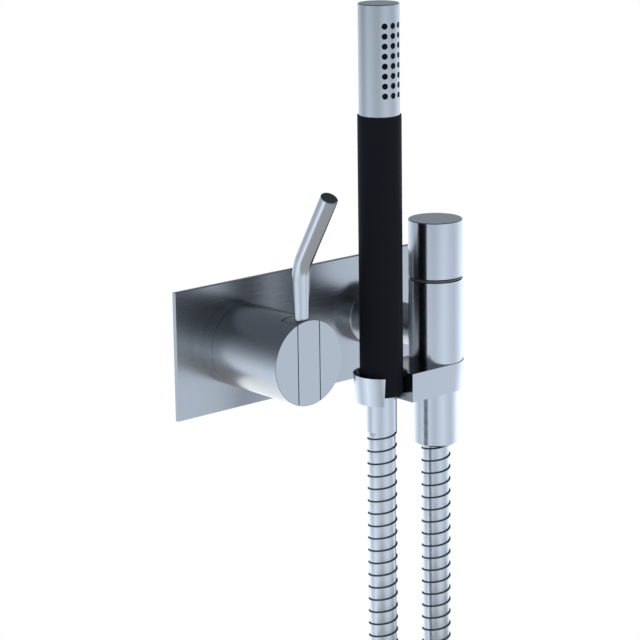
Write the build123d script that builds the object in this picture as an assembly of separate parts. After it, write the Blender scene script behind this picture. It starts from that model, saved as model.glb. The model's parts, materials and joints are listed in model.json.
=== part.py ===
from build123d import *
import math
import os

os.makedirs("parts", exist_ok=True)

# Wall-mounted shower mixer with a hand shower in its holder. Millimetres, +Z up.
# The wall is the plane y = 0, the room is at -Y, and x = 0, z = 0 lies midway
# between the axis of the mixer and the axis of the outlet.

# Clearances
slip = 0.05         # between pieces that are screwed or pressed together
run = 0.3           # between pieces that move past each other
shaft_gap = 0.08    # round a shaft in its bearing
seam = 0.4          # visible joint between the mixer's collar and its handle

# Cover plate and its gasket
axis_spacing = 84.0
plate_margin = 35.1
plate_above = 29.9
plate_below = 33.2
plate_thickness = 2.0
plate_edge = 0.3
gasket_thickness = 1.0
gasket_inset = 3.0
hole_margin = 0.4

# Concealed valve body
body_gap = 3.0
body_depth = 20.0
body_wall = 0.5
body_edge = 3.0
spigot_length = 12.0
channel_radius = 3.0
mixed_level = -6.0
supply_level = 4.0
supply_offset = 7.0
supply_depth = 4.5
port_boss_radius = 13.0
port_boss_end = -31.0
port_thread_radius = 9.32
port_thread_depth = 14.0
port_first_x = -38.0
port_spacing = 32.0
port_bore_radius = 4.5
lug_span = 128.0
lug_radius = 6.0
lug_thickness = 5.0
lug_hole_radius = 2.75

# Mixer handle, its collar and the lever
handle_radius = 20.5
collar_depth = 7.8
handle_front = 55.4
handle_wall = 3.0
rocker_width = 13.0
rocker_depth = 11.2
rocker_tilt = 20.0
pivot_depth = 6.0
pin_radius = 1.5
pin_bearing = 10.5
tail_length = 16.4
tail_radius = 1.8
ball_radius = 2.3
lever_foot_radius = 3.6
lever_radius = 4.2
lever_inset = 5.0
lever_socket = 8.0
lever_bend_height = 45.0
lever_bend_radius = 22.0
lever_lean = 30.3
lever_upper_length = 41.4
handle_web = 5.0
grub_radius = 2.0
grub_hex = 1.0
edge_break = 0.35
seam_break = 0.1

# Cartridge inside the handle
housing_wall = 1.6
housing_floor = 4.0
seal_thickness = 1.2
seal_width = 1.3
fixed_disc_thickness = 4.0
disc_gap = 0.05
disc_play = 0.9
moving_disc_thickness = 4.0
pocket_depth = 2.4
pocket_spread = 6.0
pocket_height = 10.5
pocket_drop = 2.75
carrier_flange = 4.0
carrier_half_width = 6.0
turret_boss_radius = 10.0
turret_flange = 7.6
nut_lip = 1.9
nut_wall = 1.6
nut_skirt = 7.0
nut_clearance = 0.4

# Outlet arm and its collar
arm_radius = 9.95
arm_bore_radius = 6.0
arm_spigot_radius = 7.5
arm_socket_depth = 3.5
arm_seat_width = 1.2
arm_chamber_depth = 11.0
outlet_collar_radius = 15.0
outlet_collar_depth = 6.8

# Upright outlet with its shut-off valve
outlet_distance = 52.3
outlet_radius = 13.2
outlet_shoulder = 26.6
outlet_foot = -14.0
outlet_bore_radius = 10.0
seat_level = -7.0
seat_radius = 4.5
spigot_thread_radius = 8.3
spigot_thread_end = -40.0
check_bore_radius = 6.2
check_bore_top = -15.0
groove_height = 1.5
groove_ring_depth = 0.8
groove_ring_width = 1.4
groove_ring_rounding = 0.4
knob_top = 56.1
knob_wall = 2.2
knob_cavity = 11.0
knob_socket_end = 50.0

# Quarter-turn headwork under the knob
headwork_radius = 7.8
headwork_thread_bottom = 13.0
headwork_thread_top = 24.0
headwork_hex_top = 33.0
headwork_hex = 8.6
chamber_radius = 6.3
chamber_top = 3.0
spindle_radius = 3.3
spindle_foot = 2.6
headwork_disc = 2.5
headwork_seal_height = 2.0
spindle_seal_level = 18.0
spindle_seal_size = 1.6
window_width = 6.0
disc_window_inner = 1.5
disc_window_outer = 5.0
disc_window_angle = 80.0

# Non-return valve in the outlet
check_housing_length = 20.5
check_housing_wall = 1.2
check_seat_radius = 3.4
check_seat_height = 2.0
poppet_radius = 4.4
poppet_height = 2.3
poppet_stem_radius = 1.1
bridge_height = 2.0
bridge_width = 2.0
spring_radius = 2.6
spring_wire = 0.35
spring_turns = 5

# Holder
holder_spacing = 35.8
holder_height = 14.0
holder_step = 0.5
holder_taper = 1.4
holder_floor = 3.6
holder_slot = 15.4
holder_lead = 1.9
holder_lead_depth = 5.0
lock_nut_height = 4.0
lock_nut_radius = 10.3

# Hand shower
head_radius = 9.75
head_wall = 1.5
head_length = 52.4
nozzle_rows = 8
nozzle_columns = 3
nozzle_pitch = 4.65
nozzle_angle = 26.0
nozzle_hole_radius = 1.45
nozzle_gap = 0.15
nozzle_recess = 0.25
insert_wall = 1.2
grip_radius = 10.45
grip_wall = 2.0
grip_length = 135.3
grip_seat = 0.1
grip_floor = 4.0
waterway_radius = 6.0
waterway_wall = 1.2
head_adapter_below = 8.0
head_adapter_above = 7.0
grip_adapter_height = 12.0

# Hose, its fittings and its put-away length
hose_radius = 7.0
ferrule_length = 18.6
ferrule_thread_radius = 4.6
ferrule_thread_length = 9.0
ferrule_bore_radius = 3.0
nut_radius = 10.7
nut_length = 28.1
nut_chamfer = 0.8
hose_seat = 7.4
washer_height = 2.0
insert_height = 6.0
hose_drop = -192.0
hose_spread = -249.0
coil_centre_level = -316.0
coil_turn_radius = 75.0
coil_turns = 2.5
coil_turn_pitch = 14.5
coil_rounding = 6.0
tie_thickness = 1.4
tie_angle = 14.0
fillet_share = 0.45

# Places and sizes that follow
handle_bore = handle_radius - handle_wall
spigot_radius = handle_bore - nut_clearance - nut_wall
body_radius = spigot_radius + body_wall
housing_bore = spigot_radius - housing_wall
disc_travel = tail_length * math.sin(math.radians(rocker_tilt))
moving_disc_radius = housing_bore - disc_travel / 2 - disc_play
face_y = -(gasket_thickness + plate_thickness)
mixer_x = -axis_spacing / 2
outlet_x = axis_spacing / 2
valve_y = face_y - outlet_distance
holder_radius = outlet_radius + holder_step
ferrule_radius = holder_slot / 2 - run
nozzle_radius = nozzle_hole_radius - nozzle_gap
handset_x = outlet_x - holder_spacing
cut = 1.0           # how far a cutting tool runs past the face it cuts

# In these two frames x runs right, y runs up and z runs out of the cover plate
mixer_frame = Pos(mixer_x, face_y, 0) * Rot(90, 0, 0)
outlet_frame = Pos(outlet_x, face_y, 0) * Rot(90, 0, 0)
valve_frame = Pos(outlet_x, valve_y, 0)
handset_frame = Pos(handset_x, valve_y, 0)


# Basic shapes about the Z axis of whichever frame they are then placed in

def cyl(radius, low, high):
    """A cylinder on the Z axis between two heights."""
    return Pos(0, 0, (low + high) / 2) * Cylinder(radius, high - low)


def tube(outer, inner, low, high):
    """A straight-walled ring or tube."""
    return cyl(outer, low, high) - cyl(inner, low - cut, high + cut)


def block(x, y, z):
    """A box between three pairs of limits."""
    middle = [(low + high) / 2 for low, high in (x, y, z)]
    return Pos(*middle) * Box(x[1] - x[0], y[1] - y[0], z[1] - z[0])


def turned(*outline):
    """A turned piece from its half outline, as radius and height pairs."""
    wire = Polyline([(radius, 0, height) for radius, height in outline], close=True)
    return revolve(make_face(wire), Axis.Z)


def rod_x(radius, low, high, y, z):
    """A round rod or hole along X."""
    return Pos((low + high) / 2, y, z) * Rot(0, 90, 0) * Cylinder(radius, high - low)


def rod_y(radius, low, high, x, z):
    """A round rod or hole along Y."""
    return Pos(x, (low + high) / 2, z) * Rot(90, 0, 0) * Cylinder(radius, high - low)


# Cover plate and gasket

def wall_plate():
    """Flat sheet with a broken front edge and a hole for each spigot."""
    half = axis_spacing / 2 + plate_margin
    sheet = block((-half, half), (face_y, -gasket_thickness), (-plate_below, plate_above))
    sheet = chamfer(sheet.faces().sort_by(Axis.Y)[0].edges(), plate_edge)
    for frame, radius in ((mixer_frame, spigot_radius), (outlet_frame, arm_radius)):
        sheet -= frame * cyl(radius + hole_margin, -plate_thickness - cut, cut)
    return sheet


def plate_gasket():
    """Soft sheet between the plate and the wall, a little smaller than the plate."""
    half = axis_spacing / 2 + plate_margin - gasket_inset
    height = (gasket_inset - plate_below, plate_above - gasket_inset)
    sheet = block((-half, half), (-gasket_thickness, 0), height)
    for frame, radius in ((mixer_frame, spigot_radius), (outlet_frame, arm_radius)):
        sheet -= frame * cyl(radius + 2 * hole_margin, face_y - cut, cut)
    return sheet


# Concealed valve body: places are distances out of the plate's face, so they are negative
body_front = face_y - body_gap
body_back = body_front - body_depth
port_y = body_gap + port_boss_radius
supply_y = body_gap + supply_depth


def valve_body():
    """Cast body with two threaded inlets, a socket for the arm and fixing lugs."""
    bar = Pos(0, 0, body_back) * extrude(SlotCenterToCenter(axis_spacing, 2 * body_radius), body_depth)
    bar = chamfer(bar.faces().sort_by(Axis.Z)[0].edges(), body_edge)
    lugs = Pos(0, 0, body_front - lug_thickness) * extrude(
        SlotCenterToCenter(lug_span, 2 * lug_radius), lug_thickness)
    for side in (-1, 1):
        lugs -= Pos(side * lug_span / 2, 0, 0) * cyl(lug_hole_radius, body_back, body_front + cut)
    body = Pos(0, face_y, 0) * Rot(90, 0, 0) * (bar + lugs)
    ports = [port_first_x, port_first_x + port_spacing]
    for x in ports:
        body += Pos(x, port_y, 0) * cyl(port_boss_radius, port_boss_end, 0)
    for x in ports:
        thread_end = port_boss_end + port_thread_depth
        body -= Pos(x, port_y, 0) * cyl(port_thread_radius, port_boss_end - cut, thread_end)
        body -= Pos(x, port_y, 0) * cyl(port_bore_radius, thread_end - cut, supply_level)
    hot_x = mixer_x - supply_offset
    cold_x = mixer_x + supply_offset
    front_y = body_gap - cut
    body -= rod_y(channel_radius, front_y, port_y, hot_x, supply_level)
    body -= rod_x(channel_radius, hot_x, ports[0], port_y, supply_level)
    body -= rod_y(channel_radius, front_y, supply_y, cold_x, supply_level)
    body -= rod_x(channel_radius, cold_x, ports[1], supply_y, supply_level)
    body -= rod_y(channel_radius, supply_y, port_y, ports[1], supply_level)
    body -= rod_y(channel_radius, front_y, supply_y, mixer_x, mixed_level)
    body -= rod_x(channel_radius, mixer_x, outlet_x, supply_y, mixed_level)
    socket = body_front - arm_socket_depth
    body -= outlet_frame * cyl(arm_radius + slip, socket, body_front + cut)
    chamber = body_front - arm_chamber_depth
    body -= outlet_frame * cyl(arm_radius - arm_seat_width, chamber, socket + cut)
    return body


# Cartridge: distances out of the plate's face, from the valve body outwards
floor_s = spigot_length + housing_floor
moving_s = floor_s + fixed_disc_thickness + disc_gap
carrier_s = moving_s + moving_disc_thickness
flange_s = carrier_s + carrier_flange
turret_s = flange_s + run
boss_s = turret_s + turret_flange
housing_s = boss_s + run
web_s = housing_s + nut_lip + run
slot_s = web_s + handle_web
pivot_s = handle_front - pivot_depth
ball_s = pivot_s - tail_length
disc_rest = -disc_travel / 2
port_places = [(-supply_offset, supply_level), (supply_offset, supply_level), (0, mixed_level)]


def cartridge_base():
    """Round base on the valve body, with a channel to each port of the cartridge."""
    base = cyl(spigot_radius, body_front, spigot_length)
    for x, y in port_places:
        base -= Pos(x, y, 0) * cyl(channel_radius, body_front - cut, spigot_length + cut)
    return mixer_frame * base


def cartridge_housing():
    """Cup that holds the discs, with three ports and a seat for a seal round each."""
    cup = cyl(spigot_radius, spigot_length, housing_s) - cyl(housing_bore, floor_s, housing_s + cut)
    for x, y in port_places:
        cup -= Pos(x, y, 0) * cyl(channel_radius, spigot_length - cut, floor_s + cut)
        cup -= Pos(x, y, 0) * cyl(channel_radius + seal_width, floor_s - seal_thickness, floor_s + cut)
    return mixer_frame * cup


def port_seals():
    """Three flat rings that seal the housing's ports against the fixed disc."""
    ring = tube(channel_radius + seal_width - slip, channel_radius, floor_s - seal_thickness, floor_s)
    return mixer_frame * Compound(children=[Pos(x, y, 0) * ring for x, y in port_places])


def fixed_disc():
    """Ceramic disc with three round ports."""
    disc = cyl(housing_bore - slip, floor_s, floor_s + fixed_disc_thickness)
    for x, y in port_places:
        disc -= Pos(x, y, 0) * cyl(channel_radius, floor_s - cut, moving_s)
    return mixer_frame * disc


def moving_disc():
    """Ceramic disc whose blind pocket joins the inlets to the outlet as it slides up."""
    disc = cyl(moving_disc_radius, moving_s, carrier_s)
    pocket = extrude(SlotCenterToCenter(pocket_spread, pocket_height), pocket_depth + cut)
    pocket = Pos(0, -pocket_drop, moving_s - cut) * pocket
    return mixer_frame * Pos(0, disc_rest, 0) * (disc - pocket)


def disc_carrier():
    """Carrier that holds the moving disc and takes the ball of the rocker's tail."""
    half = carrier_half_width
    block_top = boss_s - run
    carrier = cyl(moving_disc_radius, carrier_s, flange_s)
    carrier += block((-half, half), (-half, half), (flange_s - cut, block_top))
    pocket_radius = ball_radius + run
    carrier -= Pos(0, -disc_rest, 0) * cyl(pocket_radius, ball_s - ball_radius - run, block_top + cut)
    return mixer_frame * Pos(0, disc_rest, 0) * carrier


turret_radius = housing_bore - run
tail_reach = (pivot_s - boss_s) * math.tan(math.radians(rocker_tilt))
tail_swing = tail_radius / math.cos(math.radians(rocker_tilt)) + run


def turret():
    """Rotating guide: its slot turns the carrier, its boss carries the handle."""
    half = carrier_half_width + run
    guide = carrier_half_width + disc_travel / 2 + run
    boss_top = slot_s - slip
    body = cyl(turret_radius, turret_s, boss_s) + cyl(turret_boss_radius, boss_s - cut, boss_top)
    body -= block((-half, half), (-guide, guide), (turret_s - cut, boss_s))
    tail_half = tail_radius + run
    body -= block((-tail_half, tail_half), (-tail_half, tail_reach + tail_swing),
                  (boss_s - cut, boss_top + cut))
    middle = (turret_s + boss_s) / 2
    body -= tube(turret_radius + cut, turret_radius - seal_thickness,
                 middle - seal_width / 2, middle + seal_width / 2)
    return mixer_frame * body


def turret_seal():
    """Seal ring in the groove round the turret."""
    middle = (turret_s + boss_s) / 2
    return mixer_frame * tube(turret_radius, turret_radius - seal_thickness + slip,
                              middle - seal_width / 2 + slip, middle + seal_width / 2 - slip)


def cartridge_nut():
    """Cap nut screwed over the housing, which keeps the turret in."""
    outer = spigot_radius + nut_wall
    top = housing_s + nut_lip
    nut = cyl(outer, housing_s - nut_skirt, top)
    nut -= cyl(spigot_radius + slip, housing_s - nut_skirt - cut, housing_s)
    nut -= cyl(turret_boss_radius + run, housing_s - cut, top + cut)
    return mixer_frame * nut


# Mixer handle

def mixer_collar():
    """Ring screwed on the spigot, which presses the plate to the wall."""
    edge = seam_break
    outline = [(spigot_radius + slip, 0), (handle_radius, 0), (handle_radius, collar_depth - edge),
               (handle_radius - edge, collar_depth), (spigot_radius + slip, collar_depth)]
    return mixer_frame * turned(*outline)


def handle_body():
    """Deep turned cup with a web, a slot for the rocker and holes for pin and screw."""
    back = collar_depth + seam
    edge = seam_break
    outline = [(handle_bore, back), (handle_radius - edge, back), (handle_radius, back + edge),
               (handle_radius, handle_front), (0, handle_front), (0, web_s), (handle_bore, web_s)]
    handle = turned(*outline)
    half = rocker_width / 2 + run
    reach = handle_radius + cut
    handle -= block((-half, half), (-reach, reach), (slot_s, handle_front + cut))
    handle -= cyl(turret_boss_radius + slip, web_s - cut, slot_s + cut)
    pin_half = rocker_width / 2 + run + pin_bearing
    handle -= rod_x(pin_radius + slip, -pin_half, pin_half, 0, pivot_s)
    handle -= rod_y(grub_radius + slip, -reach, 0, 0, (web_s + slot_s) / 2)
    return mixer_frame * handle


def pivot_pin():
    """Pin across the slot that the rocker tilts on."""
    pin_half = rocker_width / 2 + run + pin_bearing - slip
    return mixer_frame * rod_x(pin_radius, -pin_half, pin_half, 0, pivot_s)


def handle_grub_screw():
    """Socket screw that fixes the handle to the turret from below."""
    outer = -handle_radius + handle_wall / 2
    inner = -turret_boss_radius - slip
    middle = (web_s + slot_s) / 2
    screw = rod_y(grub_radius, outer, inner, 0, middle)
    hexagon = extrude(RegularPolygon(grub_hex, 6), grub_radius)
    screw -= Pos(0, outer + grub_radius, middle) * Rot(90, 0, 0) * hexagon
    return mixer_frame * screw


lever_s = handle_front - lever_inset


def rocker():
    """Strip of the handle that tilts: its front and top lie flush, its tail has a ball."""
    half = rocker_width / 2
    back = handle_front - rocker_depth
    reach = handle_radius + cut
    strip = cyl(handle_radius, back, handle_front)
    strip &= block((-half, half), (-reach, reach), (back, handle_front))
    lean = handle_radius * math.tan(math.radians(rocker_tilt))
    relief = Polyline([(-half - cut, 0, back), (-half - cut, -handle_radius, back + lean),
                       (-half - cut, -reach, back + lean), (-half - cut, -reach, back - cut),
                       (-half - cut, 0, back - cut)], close=True)
    strip -= extrude(make_face(relief), 2 * (half + cut), dir=(1, 0, 0))
    tail = cyl(tail_radius, ball_s, pivot_s) + Pos(0, 0, ball_s) * Sphere(ball_radius)
    strip += tail
    strip -= rod_x(pin_radius + shaft_gap, -half - cut, half + cut, 0, pivot_s)
    strip -= rod_y(lever_foot_radius + slip, handle_radius - lever_socket, reach, 0, lever_s)
    return mixer_frame * strip


def lever_rod():
    """Round rod that widens upward out of the rocker and then bends forward."""
    lean = math.radians(lever_lean)
    reach = lever_bend_radius * math.tan(lean / 2)
    bend_low = lever_bend_height - reach
    bend_start = (0, bend_low, lever_s)
    bend_end = (0, lever_bend_height + reach * math.cos(lean), lever_s + reach * math.sin(lean))
    tip = (0, lever_bend_height + lever_upper_length * math.cos(lean),
           lever_s + lever_upper_length * math.sin(lean))
    path = TangentArc(bend_start, bend_end, tangent=(0, 1, 0)) + Line(bend_end, tip)
    section = Plane(origin=bend_start, z_dir=(0, 1, 0)) * Circle(lever_radius)
    rod = sweep(section, path=path)
    end = rod.faces().sort_by(Axis.Y)[-1]
    rod = chamfer(end.edges(), edge_break)
    middle = (handle_radius + bend_low) / 2
    cone = Cone(lever_foot_radius, lever_radius, bend_low - handle_radius)
    rod += Pos(0, middle, lever_s) * Rot(-90, 0, 0) * cone
    rod += rod_y(lever_foot_radius, handle_radius - lever_socket, handle_radius, 0, lever_s)
    return mixer_frame * rod


# Outlet arm and collar

def outlet_arm():
    """Tube from the valve body to the upright outlet, saddled to fit round it."""
    start = body_front - arm_socket_depth
    arm = cyl(arm_radius, start, outlet_distance)
    upright = Pos(0, 0, outlet_distance) * Rot(90, 0, 0)
    across = 2 * (arm_radius + cut)
    arm -= upright * Cylinder(outlet_radius + slip, across)
    spigot_end = outlet_distance - outlet_bore_radius
    arm += cyl(arm_spigot_radius, outlet_distance - outlet_radius - cut, spigot_end)
    arm -= cyl(arm_bore_radius, start - cut, outlet_distance)
    arm -= upright * Cylinder(outlet_bore_radius, across)
    return outlet_frame * arm


def outlet_collar():
    """Turned rosette that covers the plate's hole round the arm."""
    edge = edge_break
    outline = [(arm_radius + slip, 0), (outlet_collar_radius, 0),
               (outlet_collar_radius, outlet_collar_depth - edge),
               (outlet_collar_radius - edge, outlet_collar_depth),
               (arm_radius + slip, outlet_collar_depth)]
    return outlet_frame * turned(*outline)


# Upright outlet: heights above the axes

holder_bottom = outlet_foot - holder_height


def outlet_body():
    """Upright body: headwork bore above, seat, and a threaded spigot below."""
    body = cyl(outlet_radius, outlet_foot, outlet_shoulder)
    body += cyl(spigot_thread_radius, spigot_thread_end, outlet_foot + cut)
    body -= cyl(outlet_bore_radius, seat_level, outlet_shoulder + cut)
    body -= cyl(seat_radius, check_bore_top - cut, seat_level + cut)
    body -= cyl(check_bore_radius, spigot_thread_end - cut, check_bore_top)
    body -= rod_y(arm_spigot_radius + slip, 0, outlet_radius + cut, 0, 0)
    return valve_frame * body


def groove_ring():
    """Dark rounded ring that fills the joint between knob and body."""
    outer = outlet_radius - groove_ring_depth
    height = groove_height - run
    ring = tube(outer, outer - groove_ring_width, outlet_shoulder, outlet_shoulder + height)
    ring = fillet(ring.edges().filter_by(GeomType.CIRCLE).group_by(SortBy.RADIUS)[-1], groove_ring_rounding)
    return valve_frame * ring


knob_bottom = outlet_shoulder + groove_height


def knob():
    """Turned knob with a cavity over the headwork and a socket for the spindle."""
    edge = edge_break
    inner = outlet_radius - knob_wall
    socket = spindle_radius + slip
    cavity_top = knob_bottom + knob_cavity
    outline = [(inner, knob_bottom), (outlet_radius - edge, knob_bottom),
               (outlet_radius, knob_bottom + edge), (outlet_radius, knob_top - edge),
               (outlet_radius - edge, knob_top), (0, knob_top), (0, knob_socket_end),
               (socket, knob_socket_end), (socket, cavity_top), (inner, cavity_top)]
    body = turned(*outline)
    screw_level = (cavity_top + knob_socket_end) / 2
    body -= rod_y(grub_radius + slip, 0, outlet_radius + cut, 0, screw_level)
    return valve_frame * body


def knob_grub_screw():
    """Socket screw that fixes the knob to the spindle from behind."""
    level = (knob_bottom + knob_cavity + knob_socket_end) / 2
    outer = outlet_radius - edge_break - run
    screw = rod_y(grub_radius, spindle_radius + slip, outer, 0, level)
    hexagon = extrude(RegularPolygon(grub_hex, 6), grub_radius)
    screw -= Pos(0, outer, level) * Rot(90, 0, 0) * hexagon
    return valve_frame * screw


# Headwork

fixed_low = seat_level + headwork_seal_height
moving_low = fixed_low + headwork_disc + disc_gap
foot_low = moving_low + headwork_disc


def headwork_body():
    """Valve insert: disc chamber with side windows, thread, hexagon and spindle bore."""
    bore = spindle_radius + shaft_gap
    body = cyl(headwork_radius, seat_level, headwork_thread_bottom)
    body += cyl(outlet_bore_radius - slip, headwork_thread_bottom, headwork_thread_top)
    hexagon = extrude(RegularPolygon(headwork_hex, 6, major_radius=False),
                      headwork_hex_top - headwork_thread_top)
    body += Pos(0, 0, headwork_thread_top) * hexagon
    body -= cyl(chamber_radius, seat_level - cut, chamber_top)
    body -= cyl(bore, chamber_top - cut, headwork_hex_top + cut)
    body -= cyl(bore + spindle_seal_size, spindle_seal_level, spindle_seal_level + spindle_seal_size)
    half = window_width / 2
    reach = headwork_radius + cut
    window = (moving_low, chamber_top - run)
    body -= block((-reach, reach), (-half, half), window)
    body -= block((-half, half), (-reach, reach), window)
    return valve_frame * body


def spindle_seal():
    """Seal ring in the groove of the spindle bore."""
    bore = spindle_radius + shaft_gap
    low = spindle_seal_level + slip
    high = spindle_seal_level + spindle_seal_size - slip
    return valve_frame * tube(bore + spindle_seal_size - slip, bore, low, high)


def headwork_seal():
    """Rubber ring between the headwork and its seat."""
    return valve_frame * tube(chamber_radius - slip, seat_radius, seat_level, fixed_low)


def sector_disc(radius, low):
    """Ceramic disc with two opposite sector windows, each just under a quarter turn."""
    high = low + headwork_disc
    ring = tube(disc_window_outer, disc_window_inner, low - cut, high + cut)
    half = math.radians(disc_window_angle / 2)
    reach = 2 * disc_window_outer
    spread = reach * math.tan(half)
    bow_tie = Polyline([(0, 0), (reach, -spread), (reach, spread)], close=True)
    wedge = Pos(0, 0, low - cut) * extrude(make_face(bow_tie), headwork_disc + 2 * cut)
    disc = cyl(radius, low, high)
    for angle in (0, 180):
        disc -= ring & (Rot(0, 0, angle) * wedge)
    return disc


def headwork_fixed_disc():
    """Lower ceramic disc, held in the headwork."""
    return valve_frame * sector_disc(chamber_radius - slip, fixed_low)


def headwork_moving_disc():
    """Upper ceramic disc, a quarter turn from open when the valve is shut."""
    return valve_frame * Rot(0, 0, 90) * sector_disc(chamber_radius - run, moving_low)


def headwork_spindle():
    """Spindle with a foot that turns the upper disc."""
    top = knob_socket_end - slip
    spindle = cyl(chamber_radius - run, foot_low, foot_low + spindle_foot)
    spindle += cyl(spindle_radius, foot_low, top)
    return valve_frame * spindle


# Non-return valve

check_low = spigot_thread_end
check_high = check_low + check_housing_length
check_seat = check_high - check_seat_height
bridge_top = check_low + bridge_height


def check_valve_housing():
    """Sleeve with a seat above and a guide bridge below."""
    outer = check_bore_radius - slip
    inner = outer - check_housing_wall
    body = tube(outer, inner, check_low, check_high)
    body += tube(outer, check_seat_radius, check_seat, check_high)
    half = bridge_width / 2
    reach = inner + check_housing_wall / 2
    bridge = block((-reach, reach), (-half, half), (check_low, bridge_top))
    bridge += block((-half, half), (-reach, reach), (check_low, bridge_top))
    bridge += cyl(spring_radius + 2 * spring_wire, check_low, bridge_top)
    body += bridge
    body -= cyl(poppet_stem_radius + shaft_gap, check_low - cut, bridge_top + cut)
    return valve_frame * body


poppet_top = check_seat - run
poppet_bottom = poppet_top - poppet_height


def check_poppet():
    """Turned poppet whose stem runs in the bridge."""
    stem_end = check_low + slip
    outline = [(0, poppet_top), (poppet_radius, poppet_top), (poppet_radius, poppet_bottom),
               (poppet_stem_radius, poppet_bottom), (poppet_stem_radius, stem_end), (0, stem_end)]
    return valve_frame * turned(*outline)


def check_spring():
    """Light spring that shuts the poppet."""
    height = poppet_bottom - bridge_top - 2 * spring_wire
    path = Helix(pitch=height / spring_turns, height=height, radius=spring_radius)
    section = Plane(origin=path @ 0, z_dir=path % 0) * RegularPolygon(spring_wire, 6)
    spring = sweep(section, path=path, is_frenet=True)
    return valve_frame * Pos(0, 0, bridge_top + spring_wire) * spring


# Holder

def holder_bracket():
    """Holder: its ends slope in below, with a slotted cup for the hand shower."""
    middle = -holder_spacing / 2
    upper = SlotCenterToCenter(holder_spacing, 2 * holder_radius)
    lower = SlotCenterToCenter(holder_spacing - 2 * holder_taper, 2 * holder_radius)
    profiles = [Pos(middle, 0, holder_bottom) * lower, Pos(middle, 0, outlet_foot) * upper]
    body = loft(profiles, ruled=True)
    body -= cyl(spigot_thread_radius + slip, holder_bottom - cut, outlet_foot + cut)
    body -= cyl(lock_nut_radius + slip, holder_bottom - cut, holder_bottom + lock_nut_height)
    bore = grip_radius + run
    floor = holder_bottom + holder_floor
    lead = outlet_foot - holder_lead_depth
    cup = turned((0, floor), (bore, floor), (bore, lead), (bore + holder_lead, outlet_foot),
                 (bore + holder_lead, outlet_foot + cut), (0, outlet_foot + cut))
    cup += cyl(holder_slot / 2, holder_bottom - cut, floor + cut)
    half = holder_slot / 2
    cup += block((-half, half), (-holder_radius - cut, 0), (holder_bottom - cut, outlet_foot + cut))
    body -= Pos(-holder_spacing, 0, 0) * cup
    return valve_frame * body


def holder_lock_nut():
    """Ring nut in the underside of the holder."""
    return valve_frame * tube(lock_nut_radius, spigot_thread_radius + slip,
                              holder_bottom, holder_bottom + lock_nut_height)


# Hose nut and what it clamps

nut_top = holder_bottom - slip
nut_bottom = nut_top - nut_length
hose_top = nut_bottom + hose_seat


def hose_nut():
    """Long plain nut at the hose's upper end."""
    body = turned((0, nut_top), (nut_radius, nut_top), (nut_radius, nut_bottom + nut_chamfer),
                  (nut_radius - nut_chamfer, nut_bottom), (0, nut_bottom))
    shoulder = spigot_thread_end - washer_height - insert_height / 2
    body -= cyl(spigot_thread_radius + slip, shoulder, nut_top + cut)
    body -= cyl(hose_radius + run, nut_bottom - cut, shoulder + cut)
    return valve_frame * body


def hose_washer():
    """Rubber washer between the spigot and the hose's insert."""
    return valve_frame * tube(spigot_thread_radius - slip, ferrule_thread_radius,
                              spigot_thread_end - washer_height, spigot_thread_end)


def hose_insert():
    """Flanged sleeve on the hose's end, which the nut pulls against the washer."""
    top = spigot_thread_end - washer_height
    body = cyl(spigot_thread_radius - slip, top - insert_height / 2, top)
    body += cyl(hose_radius, hose_top, top)
    body -= cyl(ferrule_bore_radius, hose_top - cut, top + cut)
    return valve_frame * body


# Hand shower: heights follow from the floor of the holder

grip_low = holder_bottom + holder_floor + grip_seat
grip_high = grip_low + grip_length
head_high = grip_high + head_length
ferrule_low = grip_low - ferrule_length
head_bore = head_radius - head_wall
grip_bore = grip_radius - grip_wall
nozzle_middle = (grip_high + head_high) / 2


def nozzle_places():
    """Angle about the axis and height of every spray hole."""
    for column in range(nozzle_columns):
        angle = (column - (nozzle_columns - 1) / 2) * nozzle_angle
        for row in range(nozzle_rows):
            yield angle, nozzle_middle + (row - (nozzle_rows - 1) / 2) * nozzle_pitch


def nozzle(radius, inner, outer, angle, height):
    """A short rod pointing forward out of the head, turned to its column."""
    return Rot(0, 0, angle) * rod_y(radius, -outer, -inner, 0, height)


def spray_head():
    """Steel tube with a closed top and a grid of spray holes."""
    edge = edge_break
    outline = [(head_bore, grip_high), (head_radius, grip_high), (head_radius, head_high - edge),
               (head_radius - edge, head_high), (0, head_high), (0, head_high - head_wall),
               (head_bore, head_high - head_wall)]
    head = turned(*outline)
    holes = [nozzle(nozzle_hole_radius, head_bore - cut, head_radius + cut, *place)
             for place in nozzle_places()]
    return handset_frame * (head - holes)


def nozzle_insert():
    """Black liner in the head with a soft nozzle in each spray hole."""
    outer = head_bore - slip
    low = grip_high + head_adapter_above + slip
    liner = tube(outer, outer - insert_wall, low, head_high - head_wall - slip)
    tips = [nozzle(nozzle_radius, outer - insert_wall, head_radius - nozzle_recess, *place)
            for place in nozzle_places()]
    return handset_frame * (liner + tips)


def grip():
    """Black tube with a closed foot that stands in the holder."""
    body = tube(grip_radius, grip_bore, grip_low + grip_floor, grip_high)
    body += tube(grip_radius, ferrule_thread_radius + slip, grip_low, grip_low + grip_floor)
    return handset_frame * body


adapter_low = grip_high - head_adapter_below
grip_adapter_low = grip_low + grip_floor + slip
grip_adapter_high = grip_adapter_low + grip_adapter_height


def head_adapter():
    """Plug that joins the grip, the head and the waterway."""
    body = cyl(grip_bore - slip, adapter_low, grip_high)
    body += cyl(head_bore - slip, grip_high, grip_high + head_adapter_above)
    body -= cyl(waterway_radius + slip, adapter_low - cut, grip_high)
    body -= cyl(waterway_radius - waterway_wall, grip_high - cut, grip_high + head_adapter_above + cut)
    return handset_frame * body


def waterway_tube():
    """Inner tube that carries the water up to the head."""
    return handset_frame * tube(waterway_radius, waterway_radius - waterway_wall,
                                grip_adapter_high - grip_adapter_height / 2 + slip, grip_high - slip)


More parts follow.
